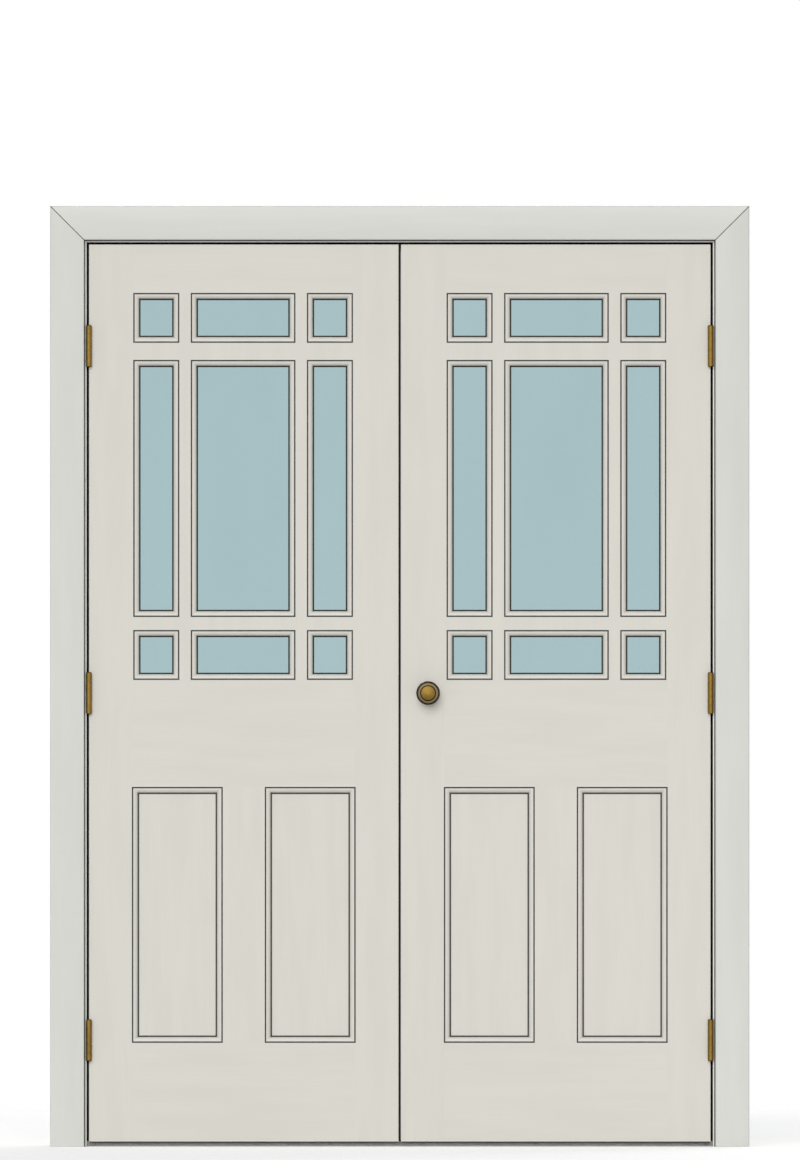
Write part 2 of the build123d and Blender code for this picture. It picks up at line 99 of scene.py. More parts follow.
# %% A socket that can be reckoned with
class Signal:
    """A number, vector or colour that runs along a wire of one material."""

    def __init__(self, finish, socket):
        self.finish, self.socket = finish, socket

    def out(self, name):
        """Another output of the same node."""
        return Signal(self.finish, self.socket.node.outputs[name])

    def axis(self, name):
        """The X, Y or Z of a vector."""
        return self.finish.add("ShaderNodeSeparateXYZ", inputs={0: self}).out(name)

    def maths(self, operation, *values):
        inputs = dict(enumerate(values))
        return self.finish.add("ShaderNodeMath", {"operation": operation}, inputs)

    def __add__(self, other):
        return self.maths("ADD", self, other)

    def __radd__(self, other):
        return self.maths("ADD", other, self)

    def __sub__(self, other):
        return self.maths("SUBTRACT", self, other)

    def __rsub__(self, other):
        return self.maths("SUBTRACT", other, self)

    def __mul__(self, other):
        return self.maths("MULTIPLY", self, other)

    def __rmul__(self, other):
        return self.maths("MULTIPLY", other, self)

    def __truediv__(self, other):
        return self.maths("DIVIDE", self, other)

    def __rtruediv__(self, other):
        return self.maths("DIVIDE", other, self)

    def __gt__(self, other):
        return self.maths("GREATER_THAN", self, other)

    def __lt__(self, other):
        return self.maths("LESS_THAN", self, other)

    def __abs__(self):
        return self.maths("ABSOLUTE", self)

    def root(self):
        return self.maths("SQRT", self)

    def larger(self, other):
        return self.maths("MAXIMUM", self, other)

    def smaller(self, other):
        return self.maths("MINIMUM", self, other)


# %% [markdown]
# ## Building a finish
# Every other node comes from one method that takes the node's type, its settings and what goes into
# its sockets. The helpers under it are the few patterns that the finishes share: a soft step, a thin
# line, a stretched noise, a mix of two colours, a bump and the shader itself.

# %% The finish builder
class Finish:
    """The nodes of one material, or of the world."""

    def __init__(self, tree):
        self.tree = tree
        tree.nodes.clear()

    def add(self, kind, settings=None, inputs=None, output=0):
        """One node of any kind, as the signal of one of its outputs if it has any."""
        node = self.tree.nodes.new(kind)
        for key, value in (settings or {}).items():
            setattr(node, key, value)
        for key, value in (inputs or {}).items():
            if isinstance(value, Signal):
                self.tree.links.new(value.socket, node.inputs[key])
            else:
                node.inputs[key].default_value = value
        return Signal(self, node.outputs[output]) if len(node.outputs) else None

    def place(self):
        """Where a point of the surface lies, in metres."""
        return self.add("ShaderNodeTexCoord").out("Object")

    def normal(self):
        """The way the surface faces at that point."""
        return self.add("ShaderNodeTexCoord").out("Normal")

    def step(self, value, low, high):
        """0 below low, 1 above high, and a smooth rise between them."""
        settings = {"interpolation_type": "SMOOTHSTEP"}
        inputs = {"Value": value, "From Min": low, "From Max": high}
        return self.add("ShaderNodeMapRange", settings, inputs)

    def line(self, value, at, width):
        """1 along a thin line where value is at, fading out at the line's edges."""
        return 1 - self.step(abs(value - at), width * 0.3, width * 0.6)

    def noise(self, vector, waves, detail=3, roughness=0.5):
        """Noise with its own number of waves in a metre along each axis."""
        scaled = self.add("ShaderNodeMapping", inputs={"Vector": vector, "Scale": waves})
        inputs = {"Vector": scaled, "Scale": 1.0, "Detail": detail, "Roughness": roughness}
        return self.add("ShaderNodeTexNoise", inputs=inputs)

    def mix(self, factor, first, second):
        """The first colour where the factor is 0, and the second where it is 1."""
        inputs = {0: factor, 6: first, 7: second}
        return self.add("ShaderNodeMix", {"data_type": "RGBA"}, inputs, output=2)

    def bump(self, height, depth):
        """A normal tilted by a height of 0 to 1, where 1 stands for that many metres."""
        inputs = {"Height": height, "Distance": depth, "Strength": 1.0}
        return self.add("ShaderNodeBump", inputs=inputs)

    def principled(self, **sockets):
        """The Principled shader, with the spaces in its socket names written as underscores."""
        inputs = {key.replace("_", " "): value for key, value in sockets.items()}
        return self.add("ShaderNodeBsdfPrincipled", inputs=inputs)

    def surface(self, shader):
        self.add("ShaderNodeOutputMaterial", inputs={"Surface": shader})


# %% Colours as the eye names them
def colour(red, green, blue, share=1.0):
    """An sRGB colour of 0 to 255 as Blender's linear one, made lighter or darker by a share."""
    linear = []
    for part in (red, green, blue):
        part = part / 255
        part = part / 12.92 if part <= 0.04045 else ((part + 0.055) / 1.055) ** 2.4
        linear.append(min(1.0, part * share))
    return (*linear, 1.0)


finishes = []


def new_finish(name):
    material = bpy.data.materials.new(name)
    material.use_nodes = True
    finishes.append(name)
    return material, Finish(material.node_tree)


# %% [markdown]
# ## Satin paint on timber
# The door is brushed with an off-white satin paint. Brush marks follow each timber: up and down on a
# stile, from side to side on a rail. Paint is never one flat colour: the marks hold a little more or
# less of it, and a broad unevenness lies under them. The marks come from noise stretched along the
# timber, which feeds colour, roughness and a bump of a few hundredths of a millimetre.
# Dark shade is painted into the colour where shade falls: in the sunk lines of the mouldings, along
# the arris of the timber round each light and panel, at the foot of the casing and in the mitres. Each
# of these is found by measuring from an edge, so that a line stays thin and true.

# %% Measures of the painted shade lines, in millimetres
half_thickness = (leaf_rear - leaf_front) / 2 / MM
quirk_sunk, foot_sunk = 4, 9
quirk_floor, foot_flat = half_thickness - quirk_sunk, half_thickness - foot_sunk
level_slack = 0.1
sunk_line_width, mitre_line_width = 1.2, 2.6
arris_shade_full, arris_shade_gone = 0.7, 1.6
panel_shade_gone, panel_shade_full = -2.5, -1.4
reveal_shade_gone, reveal_shade_full = -2.9, -2.4
print("from a leaf's middle to a quirk's floor:", round(quirk_floor, 2), "mm")
print("from a leaf's middle to a moulding's foot:", round(foot_flat, 2), "mm")

# %% Strength of the painted shade, and how squarely a face looks forwards or back, both from 0 to 1
foot_wall_cover, reveal_cover = 0.85, 0.95
faces_front_or_rear, faces_aside = 0.97, 0.03


# %% How far a place is from an opening
def outside_spans(value, spans, inset):
    """How far a value lies outside the nearest of some spans, and below 0 within one."""
    distances = [abs(value - (low + high) / 2) - ((high - low) / 2 - inset) for low, high in spans]
    nearest = distances[0]
    for distance in distances[1:]:
        nearest = nearest.smaller(distance)
    return nearest


def outside_openings(place, columns, rows, inset=0):
    """How far a place lies outside the nearest opening in its leaf, in millimetres.

    An inset makes each opening smaller all round.
    """
    from_meeting_edge = (abs(place.axis("X")) - meeting_edge) / MM
    from_bottom_edge = (place.axis("Z") - leaf_bottom) / MM
    across = outside_spans(from_meeting_edge, columns, inset)
    up = outside_spans(from_bottom_edge, rows, inset)
    return across.larger(up)


def past_casing_opening(place):
    """How far a place lies past the side and past the head of the casings, in millimetres."""
    past_side = (abs(place.axis("X")) - casing_inner_x) / MM
    past_head = (place.axis("Z") - casing_inner_z) / MM
    return past_side, past_head


# %% Where shade is painted on each kind of piece
def moulding_painted_shade(finish, place):
    """Painted shade in the sunk quirk round a moulding and at the foot where it meets the glass or
    panel.
    """
    facing = abs(finish.normal().axis("Y"))
    from_middle = abs(place.axis("Y") - leaf_mid_depth) / MM
    flat, wall = facing > faces_front_or_rear, facing < faces_aside
    # Painted shade on the quirk's floor and walls and on the moulding's foot, where shade falls.
    quirk = flat * finish.line(from_middle, quirk_floor, sunk_line_width)
    quirk_wall = wall * (from_middle > quirk_floor - level_slack)
    foot = flat * finish.line(from_middle, foot_flat, sunk_line_width)
    foot_wall = wall * (from_middle < foot_flat + level_slack)
    return quirk.larger(quirk_wall).larger(foot).larger(foot_wall * foot_wall_cover)


def arris_painted_shade(finish, place):
    """Painted shade along the arris of the timber round each light and panel, beside the quirk."""
    from_light = outside_openings(place, light_columns, light_rows)
    from_panel = outside_openings(place, panel_columns, panel_rows)
    # Painted shade on the timber next to each opening's quirk.
    return 1 - finish.step(from_light.smaller(from_panel), arris_shade_full, arris_shade_gone)


def panel_painted_shade(finish, place):
    """A thin line of painted shade on the panel along the foot of its moulding."""
    from_foot = outside_openings(place, panel_columns, panel_rows, inset=moulding_width)
    # Painted shade in the corner where the moulding meets the panel.
    return finish.step(from_foot, panel_shade_gone, panel_shade_full)


def reveal_painted_shade(finish, place):
    """A thin line of painted shade on a jamb's edge along the foot of the casing."""
    past_side, past_head = past_casing_opening(place)
    # Painted shade in the corner at the foot of the casing.
    beside = finish.step(past_side.larger(past_head), reveal_shade_gone, reveal_shade_full)
    edge_face = abs(finish.normal().axis("Y")) > faces_front_or_rear
    return edge_face * beside * reveal_cover


def mitre_painted_shade(finish, place):
    """A hairline of painted shade in the mitre where two casings meet."""
    past_side, past_head = past_casing_opening(place)
    # Painted shade along the mitre's V.
    return finish.line(past_side - past_head, 0, mitre_line_width) * (past_head > 0)


# %% The paint's own measures: waves in a metre along x, y and z, and shares of the colour
brush_waves = {"x": (7, 420, 420), "z": (420, 420, 7)}
cloud_waves = {"x": (4, 30, 30), "z": (30, 30, 4)}
peel_waves = (900, 900, 900)
thin_paint, thick_paint, clouded_paint = 0.965, 1.035, 0.94
paint_relief = 0.06 * MM
# The near-black colour of the painted shade lines.
painted_shade_colour = colour(22, 21, 19)


# %% The paint itself
def painted(name, shade, along, shade_lines=None):
    """Brushed satin paint whose marks run along x or z, with painted shade in the lines given."""
    material, finish = new_finish(name)
    place = finish.place()
    brush = finish.noise(place, brush_waves[along], detail=4, roughness=0.6)
    cloud = finish.noise(place, cloud_waves[along], detail=2)
    peel = finish.noise(place, peel_waves, detail=1)
    base = finish.mix(brush, colour(*shade, thin_paint), colour(*shade, thick_paint))
    clouded = finish.step(cloud, low=0.35, high=0.7) * 0.5
    base = finish.mix(clouded, base, colour(*shade, clouded_paint))
    if shade_lines:
        # Painted shade mixed into the paint's colour along the lines given.
        base = finish.mix(shade_lines(finish, place), base, painted_shade_colour)
    shader = finish.principled(
        Base_Color=base,
        Roughness=0.34 + brush * 0.16,
        Normal=finish.bump(brush * 0.7 + peel * 0.3, paint_relief),
    )
    finish.surface(shader)
    return material


leaf_shade, casing_shade = (216, 213, 204), (214, 214, 208)
# Jamb and stop are painted lighter than the casing to make up for the shade they lie in: painted
# light.
jamb_lightened_paint, stop_lightened_paint = (230, 230, 227), (228, 227, 223)
leaf_upright = painted("leaf_paint_upright", leaf_shade, "z", arris_painted_shade)
leaf_level = painted("leaf_paint_level", leaf_shade, "x", arris_painted_shade)
leaf_moulding = painted("leaf_paint_moulding", leaf_shade, "z", moulding_painted_shade)
leaf_panel = painted("leaf_paint_panel", leaf_shade, "z", panel_painted_shade)
casing_upright = painted("casing_paint_upright", casing_shade, "z", mitre_painted_shade)
casing_level = painted("casing_paint_level", casing_shade, "x", mitre_painted_shade)
jamb_upright = painted("jamb_paint_upright", jamb_lightened_paint, "z", reveal_painted_shade)
jamb_level = painted("jamb_paint_level", jamb_lightened_paint, "x", reveal_painted_shade)
stop_upright = painted("stop_paint_upright", stop_lightened_paint, "z")
stop_level = painted("stop_paint_level", stop_lightened_paint, "x")
print("paints:", finishes)

# %% [markdown]
# ## Tinted glass
# The panes are clear float glass with a blue-green tint, so the pale room behind reads as a soft
# teal. A Principled surface with full transmission bends light as glass does, and tints it once on
# the way in and once on the way out. Lamps would be blocked by it, so rays that look for a lamp
# meet a plain tinted Transparent surface instead.

# %% Glass
def tinted_glass(name, tint, shadow_tint):
    """Clear glass with a faint waviness and a few dull specks."""
    material, finish = new_finish(name)
    place = finish.place()
    waves = finish.noise(place, (9, 9, 3), detail=1)
    specks = finish.noise(place, (160, 160, 160), detail=2)
    clear = finish.principled(
        Base_Color=finish.mix(waves, colour(*tint, 0.97), colour(*tint, 1.03)),
        Roughness=finish.step(specks, low=0.66, high=0.8) * 0.06,
        Transmission_Weight=1.0,
        IOR=1.5,
        Normal=finish.bump(waves, 0.4 * MM),
    )
    passing = finish.add("ShaderNodeBsdfTransparent", inputs={"Color": colour(*shadow_tint)})
    lamp_ray = finish.add("ShaderNodeLightPath").out("Is Shadow Ray")
    finish.surface(finish.add("ShaderNodeMixShader", inputs={0: lamp_ray, 1: clear, 2: passing}))
    return material


glass = tinted_glass("tinted_glass", tint=(162, 189, 193), shadow_tint=(205, 220, 222))

# %% [markdown]
# ## Brass that has been handled
# Hinges, knob, rose and latch are solid brass, no longer bright. A brown bloom lies over the metal in
# soft clouds, and fine scratches make it satin. On the knob, hands and cloths rub the shoulder pale,
# while the bloom stays thick in the groove round the face. The knob's rim, where it turns away, gets
# painted shade. Those rings are found by distance from the knob's axis, so they stay true while the
# knob turns.
# The rose and the hinge pins are hardly ever rubbed, so they are darker. The backs of the barrels are
# darker too, with bloom and with painted shade where each barrel turns away towards leaf and jamb. A
# screw's grime lies in its slot and round its rim, and the screw's own faces say where.

# %% Colours and places of the bloom and the painted shade
# The bloom's colour, also used for painted shade on the knob's rim and the barrels' sides.
bloom_and_shade_colour = colour(34, 24, 14)
bright_brass, brown_brass = colour(132, 106, 49), colour(106, 82, 39)
scratched_brass, pale_shoulder = colour(152, 127, 72), colour(150, 137, 111)
screw_shine = colour(172, 146, 88)
knob_low, knob_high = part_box("knob_front")
knob_axis_x = (knob_low.x + knob_high.x) / 2
knob_axis_z = (knob_low.z + knob_high.z) / 2
groove_radius, groove_width = 16.6, 2.6
shoulder_start, shoulder_end = 17.4, 18.2
# Where the painted shade on the knob's rim begins and is full.
rim_shade_start, rim_shade_end = 21.6, 22.3
leaf_swing = next(joint for joint in frame["joints"] if joint["name"] == "right_leaf_swing")
barrel_axis_y = leaf_swing["pos_m"][1]
# Where the painted shade and bloom begin and end on a barrel, behind its front.
barrel_shade_start, barrel_shade_end = barrel_axis_y - 4.2 * MM, barrel_axis_y - 1.6 * MM
shoulder_cover, groove_bloom_and_rim_shade_cover, barrel_shade_cover, screw_rubbed = 0.9, 0.95, 0.5, 0.55
print("knob axis:", round(knob_axis_x, 4), round(knob_axis_z, 4))


# %% Where bloom and painted shade lie on each kind of piece
def never_rubbed(finish, place, metal, least, spread):
    """Bloom all over, a little uneven."""
    cover = finish.noise(place, (300, 300, 300), detail=2) * spread + least
    return finish.mix(cover, metal, bloom_and_shade_colour)


def pin_bloom(finish, place, metal):
    return never_rubbed(finish, place, metal, least=0.7, spread=0.2)


def rose_bloom(finish, place, metal):
    return never_rubbed(finish, place, metal, least=0.88, spread=0.1)


def hinge_bloom_and_shade(finish, place, metal):
    """Darker towards the back of each barrel: bloom, and painted shade where the barrel turns away."""
    depth = place.axis("Y")
    # Painted shade on the barrel's sides as they turn away, in the bloom's colour.
    back = finish.step(depth, barrel_shade_start, barrel_shade_end)
    return finish.mix(back * (depth < leaf_front) * barrel_shade_cover, metal, bloom_and_shade_colour)


def knob_bloom_and_rim_shade(finish, place, metal):
    """Pale on the rubbed shoulder, bloom in the groove round the face, and painted shade on the rim.
    """
    across = (place.axis("X") - knob_axis_x) / MM
    up = (place.axis("Z") - knob_axis_z) / MM
    radius = (across * across + up * up).root()
    shoulder = finish.step(radius, shoulder_start, shoulder_end)
    metal = finish.mix(shoulder * shoulder_cover, metal, pale_shoulder)
    groove = finish.line(radius, groove_radius, groove_width)
    # Painted shade on the knob's rim, where it turns away.
    rim = finish.step(radius, rim_shade_start, rim_shade_end)
    return finish.mix(groove.larger(rim) * groove_bloom_and_rim_shade_cover, metal, bloom_and_shade_colour)


def screw_bloom(finish, place, metal):
    """Brighter where a screwdriver has rubbed the head, dark where the piece says grime lies."""
    rubbed = finish.mix(screw_rubbed, metal, screw_shine)
    grime = finish.add("ShaderNodeAttribute", {"attribute_name": "grime"}).out("Fac")
    return finish.mix(grime, rubbed, bloom_and_shade_colour)


# %% Brass
def aged_brass(name, bloom_and_shade=None, marks=(500, 500, 60)):
    """Satin brass with scratches of so many waves in a metre, and bloom and painted shade in the
    places given.
    """
    material, finish = new_finish(name)
    place = finish.place()
    scratch = finish.noise(place, marks, detail=3, roughness=0.6)
    cloud = finish.noise(place, (38, 38, 38), detail=4, roughness=0.6)
    browned = finish.step(cloud, low=0.38, high=0.72) * 0.45
    metal = finish.mix(browned, bright_brass, brown_brass)
    metal = finish.mix(scratch * 0.2, metal, scratched_brass)
    if bloom_and_shade:
        metal = bloom_and_shade(finish, place, metal)
    shader = finish.principled(
        Base_Color=metal,
        Metallic=1.0,
        Roughness=0.46 + cloud * 0.14,
        Normal=finish.bump(scratch, 0.02 * MM),
    )
    finish.surface(shader)
    return material


brass = aged_brass("aged_brass")
knob_brass = aged_brass("knob_brass", knob_bloom_and_rim_shade, marks=(260, 60, 260))
rose_brass = aged_brass("rose_brass", rose_bloom, marks=(260, 60, 260))
hinge_brass = aged_brass("hinge_brass", hinge_bloom_and_shade)
pin_brass = aged_brass("pin_brass", pin_bloom)
screw_brass = aged_brass("screw_brass", screw_bloom, marks=(300, 300, 300))
print("brass:", [name for name in finishes if "brass" in name])

# %% [markdown]
# ## Threshold, spindle and seals
# The threshold bar is dark anodised aluminium, drawn through a die, so its fine lines run along the
# doorway, and shoes have left paler scuffs on it. Its colour is set lighter than that, as painted
# light that makes up for the shade under the leaves. The spindle is plain steel. The seals are black
# pile and foam that drink up the light, which is why the gaps round the leaves look almost black.

# %% Metals and seals
def drawn_metal(name, shade, worn, marks, roughness):
    """Metal drawn through a die, whose fine lines run where the marks have few waves."""
    material, finish = new_finish(name)
    place = finish.place()
    lines = finish.noise(place, marks, detail=3, roughness=0.7)
    scuffs = finish.noise(place, (60, 25, 25), detail=5, roughness=0.7)
    base = finish.mix(lines * 0.5, colour(*shade), colour(*shade, 1.35))
    scuffed = finish.step(scuffs, low=0.58, high=0.72) * 0.35
    base = finish.mix(scuffed, base, colour(*worn))
    shader = finish.principled(
        Base_Color=base,
        Metallic=1.0,
        Roughness=roughness + scuffs * 0.2,
        Normal=finish.bump(lines, 0.03 * MM),
    )
    finish.surface(shader)
    return material


def dark_seal(name, marks):
    """Black fibres or foam that hardly shine."""
    material, finish = new_finish(name)
    fibres = finish.noise(finish.place(), marks, detail=3, roughness=0.7)
    shader = finish.principled(
        Base_Color=finish.mix(fibres, colour(12, 12, 12), colour(34, 33, 32)),
        Roughness=0.8 + fibres * 0.15,
        Specular_IOR_Level=0.2,
        Normal=finish.bump(fibres, 0.3 * MM),
    )
    finish.surface(shader)
    return material


# Colour set lighter than dark anodised aluminium, to make up for the shade under the leaves: painted
# light.
threshold_metal = drawn_metal(
    "drawn_aluminium", (172, 171, 170), worn=(200, 198, 196), marks=(5, 700, 700), roughness=0.4
)
steel = drawn_metal(
    "spindle_steel", (150, 150, 152), worn=(175, 175, 176), marks=(400, 12, 400), roughness=0.3
)
pile = dark_seal("pile_seal", (120, 900, 900))
foam = dark_seal("foam_seal", (500, 500, 500))
tape = dark_seal("glazing_tape", (700, 700, 700))
print("finishes made:", len(finishes))


# %% [markdown]
# ## Dressing the solids
# A solid whose shape is right keeps its mesh and gets a finish. Stiles, bars and side jambs take the
# upright paint, rails and heads the level one, and mouldings, panels and brass a finish of their own.

# %% Give the solids their finishes
def dress(material, *names):
    for name in names:
        piece = nodes[name]
        if not piece.material_slots:
            piece.data.materials.append(material)
        for slot in piece.material_slots:
            slot.material = material
    print(material.name, "on", ", ".join(names))


for hand in HANDS:
    dress(leaf_upright, f"{hand}_hinge_stile", f"{hand}_meeting_stile", f"{hand}_muntin")
    dress(leaf_upright, f"{hand}_glazing_bars")
    dress(leaf_level, f"{hand}_top_rail", f"{hand}_lock_rail", f"{hand}_bottom_rail")
    dress(leaf_moulding, f"{hand}_glazing_beads", f"{hand}_panel_mouldings")
    dress(leaf_panel, f"{hand}_panels")
    dress(glass, f"{hand}_panes")
    dress(hinge_brass, f"{hand}_hinge_plates")
    dress(jamb_upright, f"{hand}_jamb")
    dress(stop_upright, f"{hand}_stop")
dress(jamb_level, "head_jamb")
dress(stop_level, "head_stop")
dress(hinge_brass, "frame_hinge_plates")
dress(pin_brass, "hinge_pins")
dress(brass, "left_strike_plate", "right_latch")
dress(knob_brass, "knob_front", "knob_rear")
dress(rose_brass, "right_roses")
dress(steel, "spindle")
dress(threshold_metal, "threshold")


# %% [markdown]
# ## Working by hand
# New pieces start as a primitive of the right size and are shaped in edit mode, as a modeller would
# with the mouse. A few helpers stand for the hand. One clears the selection, because the loaded
# solids come in selected and an operator acts on all of them. One takes hold of a single piece, one
# adds a block between two corners, and one opens a piece with only certain faces or edges picked.
# Parts that belong together are joined, and the last helper hands a finished piece over to its body.

# %% The modeller's hand
def clear_selection():
    if bpy.context.mode != "OBJECT":
        bpy.ops.object.mode_set(mode="OBJECT")
    bpy.ops.object.select_all(action="DESELECT")


def take(piece):
    """Makes this the one selected and active piece."""
    clear_selection()
    piece.select_set(True)
    bpy.context.view_layer.objects.active = piece


def block(name, low, high):
    """A cube primitive that fills the space between two corners."""
    low, high = Vector(low), Vector(high)
    clear_selection()
    bpy.ops.mesh.primitive_cube_add(size=1, location=(low + high) / 2, scale=high - low)
    bpy.ops.object.transform_apply(location=True, rotation=True, scale=True)
    piece = bpy.context.object
    piece.name = piece.data.name = name
    return piece


def pick(piece, kind, test):
    """Opens the piece in edit mode with only the faces or edges that pass the test."""
    take(piece)
    bpy.ops.object.mode_set(mode="EDIT")
    bpy.ops.mesh.select_mode(type=kind)
    bpy.ops.mesh.select_all(action="DESELECT")
    mesh = bmesh.from_edit_mesh(piece.data)
    parts = {"FACE": mesh.faces, "EDGE": mesh.edges}[kind]
    chosen = [part for part in parts if test(part)]
    for part in chosen:
        part.select_set(True)
    bmesh.update_edit_mesh(piece.data)
    return len(chosen)


def every(part):
    """The test that any face or edge passes."""
    return True


def near(value, target, slack=0.02 * MM):
    return abs(value - target) < slack


def runs_along(edge, axis, least=0.5):
    """Whether an edge is one of the long ones, more than half a metre along that axis."""
    run = edge.verts[1].co - edge.verts[0].co
    return abs(run[axis]) > least


# %% Join parts and hand a piece over
smooth_up_to = math.radians(35)


def join(parts, name):
    """One piece from several, with its place in its mesh."""
    clear_selection()
    for part in parts:
        part.select_set(True)
    bpy.context.view_layer.objects.active = parts[0]
    bpy.ops.object.join()
    bpy.ops.object.transform_apply(location=True, rotation=True, scale=True)
    piece = bpy.context.object
    piece.name = piece.data.name = name
    return piece


def hand_over(piece, body, material):
    """Shades the piece, paints it, and ties it to the body that it moves with."""
    take(piece)
    bpy.ops.object.shade_smooth_by_angle(angle=smooth_up_to)
    piece.data.materials.clear()
    piece.data.materials.append(material)
    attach(piece, body)
    piece.data.calc_loop_triangles()
    print(piece.name, "on", body, len(piece.data.loop_triangles), "triangles")


# %% [markdown]
# ## Casings with a mitre you can see
# A casing is a flat board with the two long arrises of its face eased, cut at 45 degrees where the
# uprights meet the head. The painted mitre always opens a hair and shows as a fine diagonal line, and
# the casing paint adds painted shade along it. The solids meet without a line, so each board is made
# again: a block the size of its solid, arrises bevelled round, the corner cut off with bisect, and the
# cut edge given a small bevel of its own, which leaves a V where two boards meet.

# %% Cut a mitre
arris_radius, mitre_ease = 3 * MM, 0.7 * MM


def cut_mitre(piece, side, level, face_y):
    """Cuts one end at 45 degrees through the corner of the opening and eases the cut's edges."""
    pick(piece, "FACE", every)
    corner = (side * casing_inner_x, 0, casing_inner_z)
    kept_side = (-side, 0, 1) if level else (side, 0, -1)
    bpy.ops.mesh.bisect(plane_co=corner, plane_no=kept_side, use_fill=True, clear_inner=True)

    def cut_edge(edge):
        ends = [v.co for v in edge.verts]
        on_cut = all(near(abs(c.x) - casing_inner_x, c.z - casing_inner_z) for c in ends)
        this_side = all(c.x * side > 0 for c in ends)
        at_face = all(abs(c.y - face_y) < arris_radius + 0.1 * MM for c in ends)
        return on_cut and this_side and at_face

    eased = pick(piece, "EDGE", cut_edge)
    bpy.ops.mesh.bevel(offset=mitre_ease, segments=1, affect="EDGES")
    print(piece.name, "edges eased along a mitre:", eased)


# %% Model the casings
def casing_board(name):
    low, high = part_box(name)
    piece = block(f"{name}_board", low, high)
    face_y = low.y if low.y < 0 else high.y
    level = "head" in name

    def face_arris(edge):
        at_face = all(near(v.co.y, face_y) for v in edge.verts)
        return at_face and runs_along(edge, X if level else Z)

    pick(piece, "EDGE", face_arris)
    bpy.ops.mesh.bevel(offset=arris_radius, segments=5, affect="EDGES")
    for side in (-1, 1) if level else (math.copysign(1, low.x + high.x),):
        cut_mitre(piece, side, level, face_y)
    clear_selection()
    hand_over(piece, "frame", casing_level if level else casing_upright)
    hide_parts(name)


for wall_side in ("front", "rear"):
    for board in ("left", "right", "head"):
        casing_board(f"casing_{wall_side}_{board}")

# %% [markdown]
# ## Glazing tape
# Between each pane and its bead a black tape keeps the draught out, and 1.8 mm of it shows all round
# the glass, on both faces. One ring is a plane inset by the tape's width, its middle deleted and the
# rest extruded. The lights differ in size, so each ring is made at its own size, and the 18 rings of a
# leaf are joined.

# %% Model the glazing tape
tape_width, tape_height = 1.8 * MM, 1.0 * MM
panes_low, panes_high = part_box("right_panes")


def tape_ring(left_x, right_x, low_z, high_z, seat_y, outward):
    """A flat frame of tape that stands out of the glass along y, one way or the other."""
    clear_selection()
    middle = ((left_x + right_x) / 2, seat_y, (low_z + high_z) / 2)
    bpy.ops.mesh.primitive_plane_add(size=1, location=middle, rotation=(math.pi / 2, 0, 0))
    ring = bpy.context.object
    ring.scale = (right_x - left_x, high_z - low_z, 1)
    bpy.ops.object.transform_apply(location=True, rotation=True, scale=True)
    pick(ring, "FACE", every)
    bpy.ops.mesh.inset(thickness=tape_width)
    bpy.ops.mesh.delete(type="FACE")
    pick(ring, "FACE", every)
    step_out = (0, outward * tape_height, 0)
    bpy.ops.mesh.extrude_region_move(TRANSFORM_OT_translate={"value": step_out})
    bpy.ops.mesh.select_all(action="SELECT")
    bpy.ops.mesh.normals_make_consistent(inside=False)
    clear_selection()
    return ring


for hand, side in HANDS.items():
    rings = []
    for near_edge, far_edge in light_columns:
        edges = (near_edge + moulding_width, far_edge - moulding_width)
        left_x, right_x = sorted(side * (meeting_edge + edge * MM) for edge in edges)
        for low_row, high_row in light_rows:
            low_z = leaf_bottom + (low_row + moulding_width) * MM
            high_z = leaf_bottom + (high_row - moulding_width) * MM
            for seat_y, outward in ((panes_low.y, -1), (panes_high.y, 1)):
                rings.append(tape_ring(left_x, right_x, low_z, high_z, seat_y, outward))
    hand_over(join(rings, f"{hand}_glazing_tape"), f"{hand}_leaf", tape)

# %% [markdown]
# ## Seals in the gaps
# The gaps look black because something dark lies behind them. A pile strip in the left leaf's meeting
# edge nearly fills the 5 mm gap and stops just short of the right leaf, so both leaves still swing
# freely. Foam strips lie in the corner between stop and jamb, and the closed leaves stop just short
# of them. Under each leaf a strip of brush reaches down towards the floor, and hangs clear of it.
# Each is a block with its outer face narrowed and the long edges of that face bevelled.

# %% A strip with a narrower, rounded tip
tip_rounding = 0.7 * MM


def sealing_strip(name, low, high, tip, narrow, body, material):
    """A long block that gets narrower towards its tip, given as the tip's axis and its place."""
    piece = block(name, low, high)
    tip_axis, tip_at = tip
    middle = (Vector(low) + Vector(high)) / 2
    middle[tip_axis] = tip_at
    lengthwise = max((X, Y, Z), key=lambda axis: high[axis] - low[axis])

    def on_tip(part):
        return all(near(v.co[tip_axis], tip_at) for v in part.verts)

    def long_tip_edge(edge):
        return on_tip(edge) and runs_along(edge, lengthwise)

    pick(piece, "FACE", on_tip)
    bpy.ops.transform.resize(value=narrow, center_override=middle)
    pick(piece, "EDGE", long_tip_edge)
    bpy.ops.mesh.bevel(offset=tip_rounding, segments=3, affect="EDGES")
    clear_selection()
    hand_over(piece, body, material)


# %% Foam behind the leaves
foam_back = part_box("right_stop")[0].y
foam_front = leaf_rear + 0.4 * MM
foam_width = 10 * MM
seal_end_gap = 1 * MM
for hand, side in HANDS.items():
    left_x, right_x = sorted((side * (jamb_face - foam_width), side * jamb_face))
    sealing_strip(
        f"{hand}_foam_seal",
        low=(left_x, foam_front, leaf_bottom + seal_end_gap),
        high=(right_x, foam_back, head_face),
        tip=(Y, foam_front),
        narrow=(0.75, 1, 1),
        body="frame",
        material=foam,
    )
sealing_strip(
    "head_foam_seal",
    low=(foam_width - jamb_face, foam_front, head_face - foam_width),
    high=(jamb_face - foam_width, foam_back, head_face),
    tip=(Y, foam_front),
    narrow=(1, 1, 0.75),
    body="frame",
    material=foam,
)

